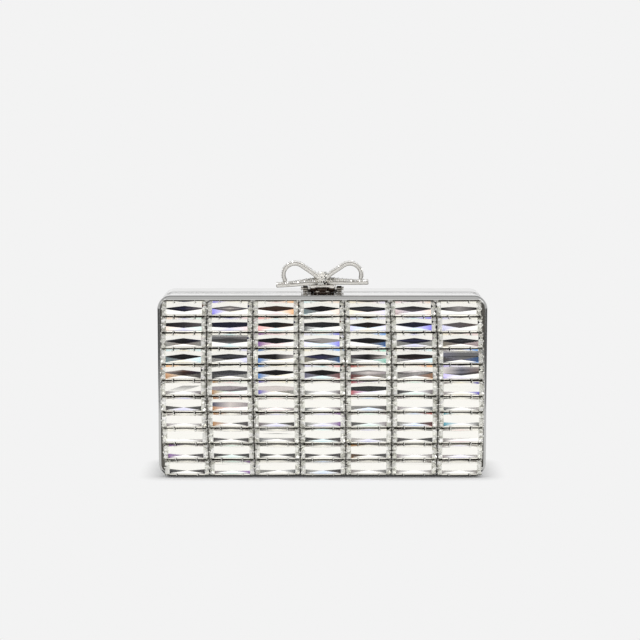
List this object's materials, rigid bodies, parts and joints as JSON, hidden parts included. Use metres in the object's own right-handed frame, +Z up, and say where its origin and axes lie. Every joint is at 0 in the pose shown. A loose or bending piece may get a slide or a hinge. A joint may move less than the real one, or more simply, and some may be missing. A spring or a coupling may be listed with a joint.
{
  "type": "box clutch bag",
  "caption": "Hard-shell box clutch with a front of rectangular crystals in claw settings, a bottom barrel hinge and a sprung bow lever that latches it on top.",
  "frame": {"origin": "middle of the case, on the surface that it stands on", "axes": "+X along the case's width, -Y towards the crystal front, +Z up; the halves meet at an upright plane facing Y"},
  "size_m": [0.18, 0.0478, 0.1167],
  "materials": {
    "polished_metal": "polished silver-coloured plating with fine handling scratches",
    "back_panel_metal": "satin-brushed silver-coloured sheet",
    "dark_plate": "dark gunmetal lacquer",
    "claw_metal": "plated claw settings, silver going dark in the gaps",
    "crystal": "clear faceted crystal with a mirror foil behind",
    "bow_metal": "polished warm silver plating set with small clear stones",
    "spring_steel": "dark tempered spring steel",
    "lining_satin": "satin-woven silver-grey lining cloth on board"
  },
  "bodies": {
    "back_half": {"back_rim": "polished_metal", "back_bezel": "polished_metal", "back_cover": "back_panel_metal", "back_lining": "lining_satin", "rim_lip": "polished_metal", "back_hinge_leaf": "polished_metal", "back_hinge_rivet_left": "polished_metal", "back_hinge_rivet_right": "polished_metal", "hinge_pin": "polished_metal", "clasp_base": "bow_metal", "clasp_pin": "bow_metal", "clasp_rivet_left": "bow_metal", "clasp_rivet_right": "bow_metal"},
    "front_half": {"front_rim": "polished_metal", "front_bezel": "polished_metal", "front_stone_plate": "dark_plate", "claw_frame_1": "claw_metal", "claw_frame_2": "claw_metal", "claw_frame_3": "claw_metal", "claw_frame_4": "claw_metal", "claw_frame_5": "claw_metal", "claw_frame_6": "claw_metal", "claw_frame_7": "claw_metal", "crystal_column_1": "crystal", "crystal_column_2": "crystal", "crystal_column_3": "crystal", "crystal_column_4": "crystal", "crystal_column_5": "crystal", "crystal_column_6": "crystal", "crystal_column_7": "crystal", "front_lining": "lining_satin", "front_hinge_leaf": "polished_metal", "front_hinge_rivet_left": "polished_metal", "front_hinge_rivet_right": "polished_metal", "striker_plate": "spring_steel", "striker_rivet_left": "bow_metal", "striker_rivet_right": "bow_metal"},
    "bow_lever": {"lever_saddle": "bow_metal", "bow_post_left": "bow_metal", "bow_post_right": "bow_metal", "bow_tail_left": "bow_metal", "bow_tail_right": "bow_metal", "bow_loop_left": "bow_metal", "bow_loop_right": "bow_metal", "bow_knot": "bow_metal", "latch_tongue": "spring_steel", "tongue_rivet": "bow_metal", "clasp_spring": "spring_steel"}
  },
  "joints": [
    {"name": "front_hinge", "type": "hinge", "parent": "back_half", "child": "front_half", "pos_m": [0, 0.0019, 0.0024], "axis": [1, 0, 0], "range_deg": [0, 90], "deforming": ["latch_tongue"]},
    {"name": "bow_lever_tilt", "type": "hinge", "parent": "back_half", "child": "bow_lever", "pos_m": [0, 0.0051, 0.10169], "axis": [-1, 0, 0], "range_deg": [0, 35], "stiffness_Nm_per_rad": 0.02, "deforming": ["clasp_spring"]}
  ]
}
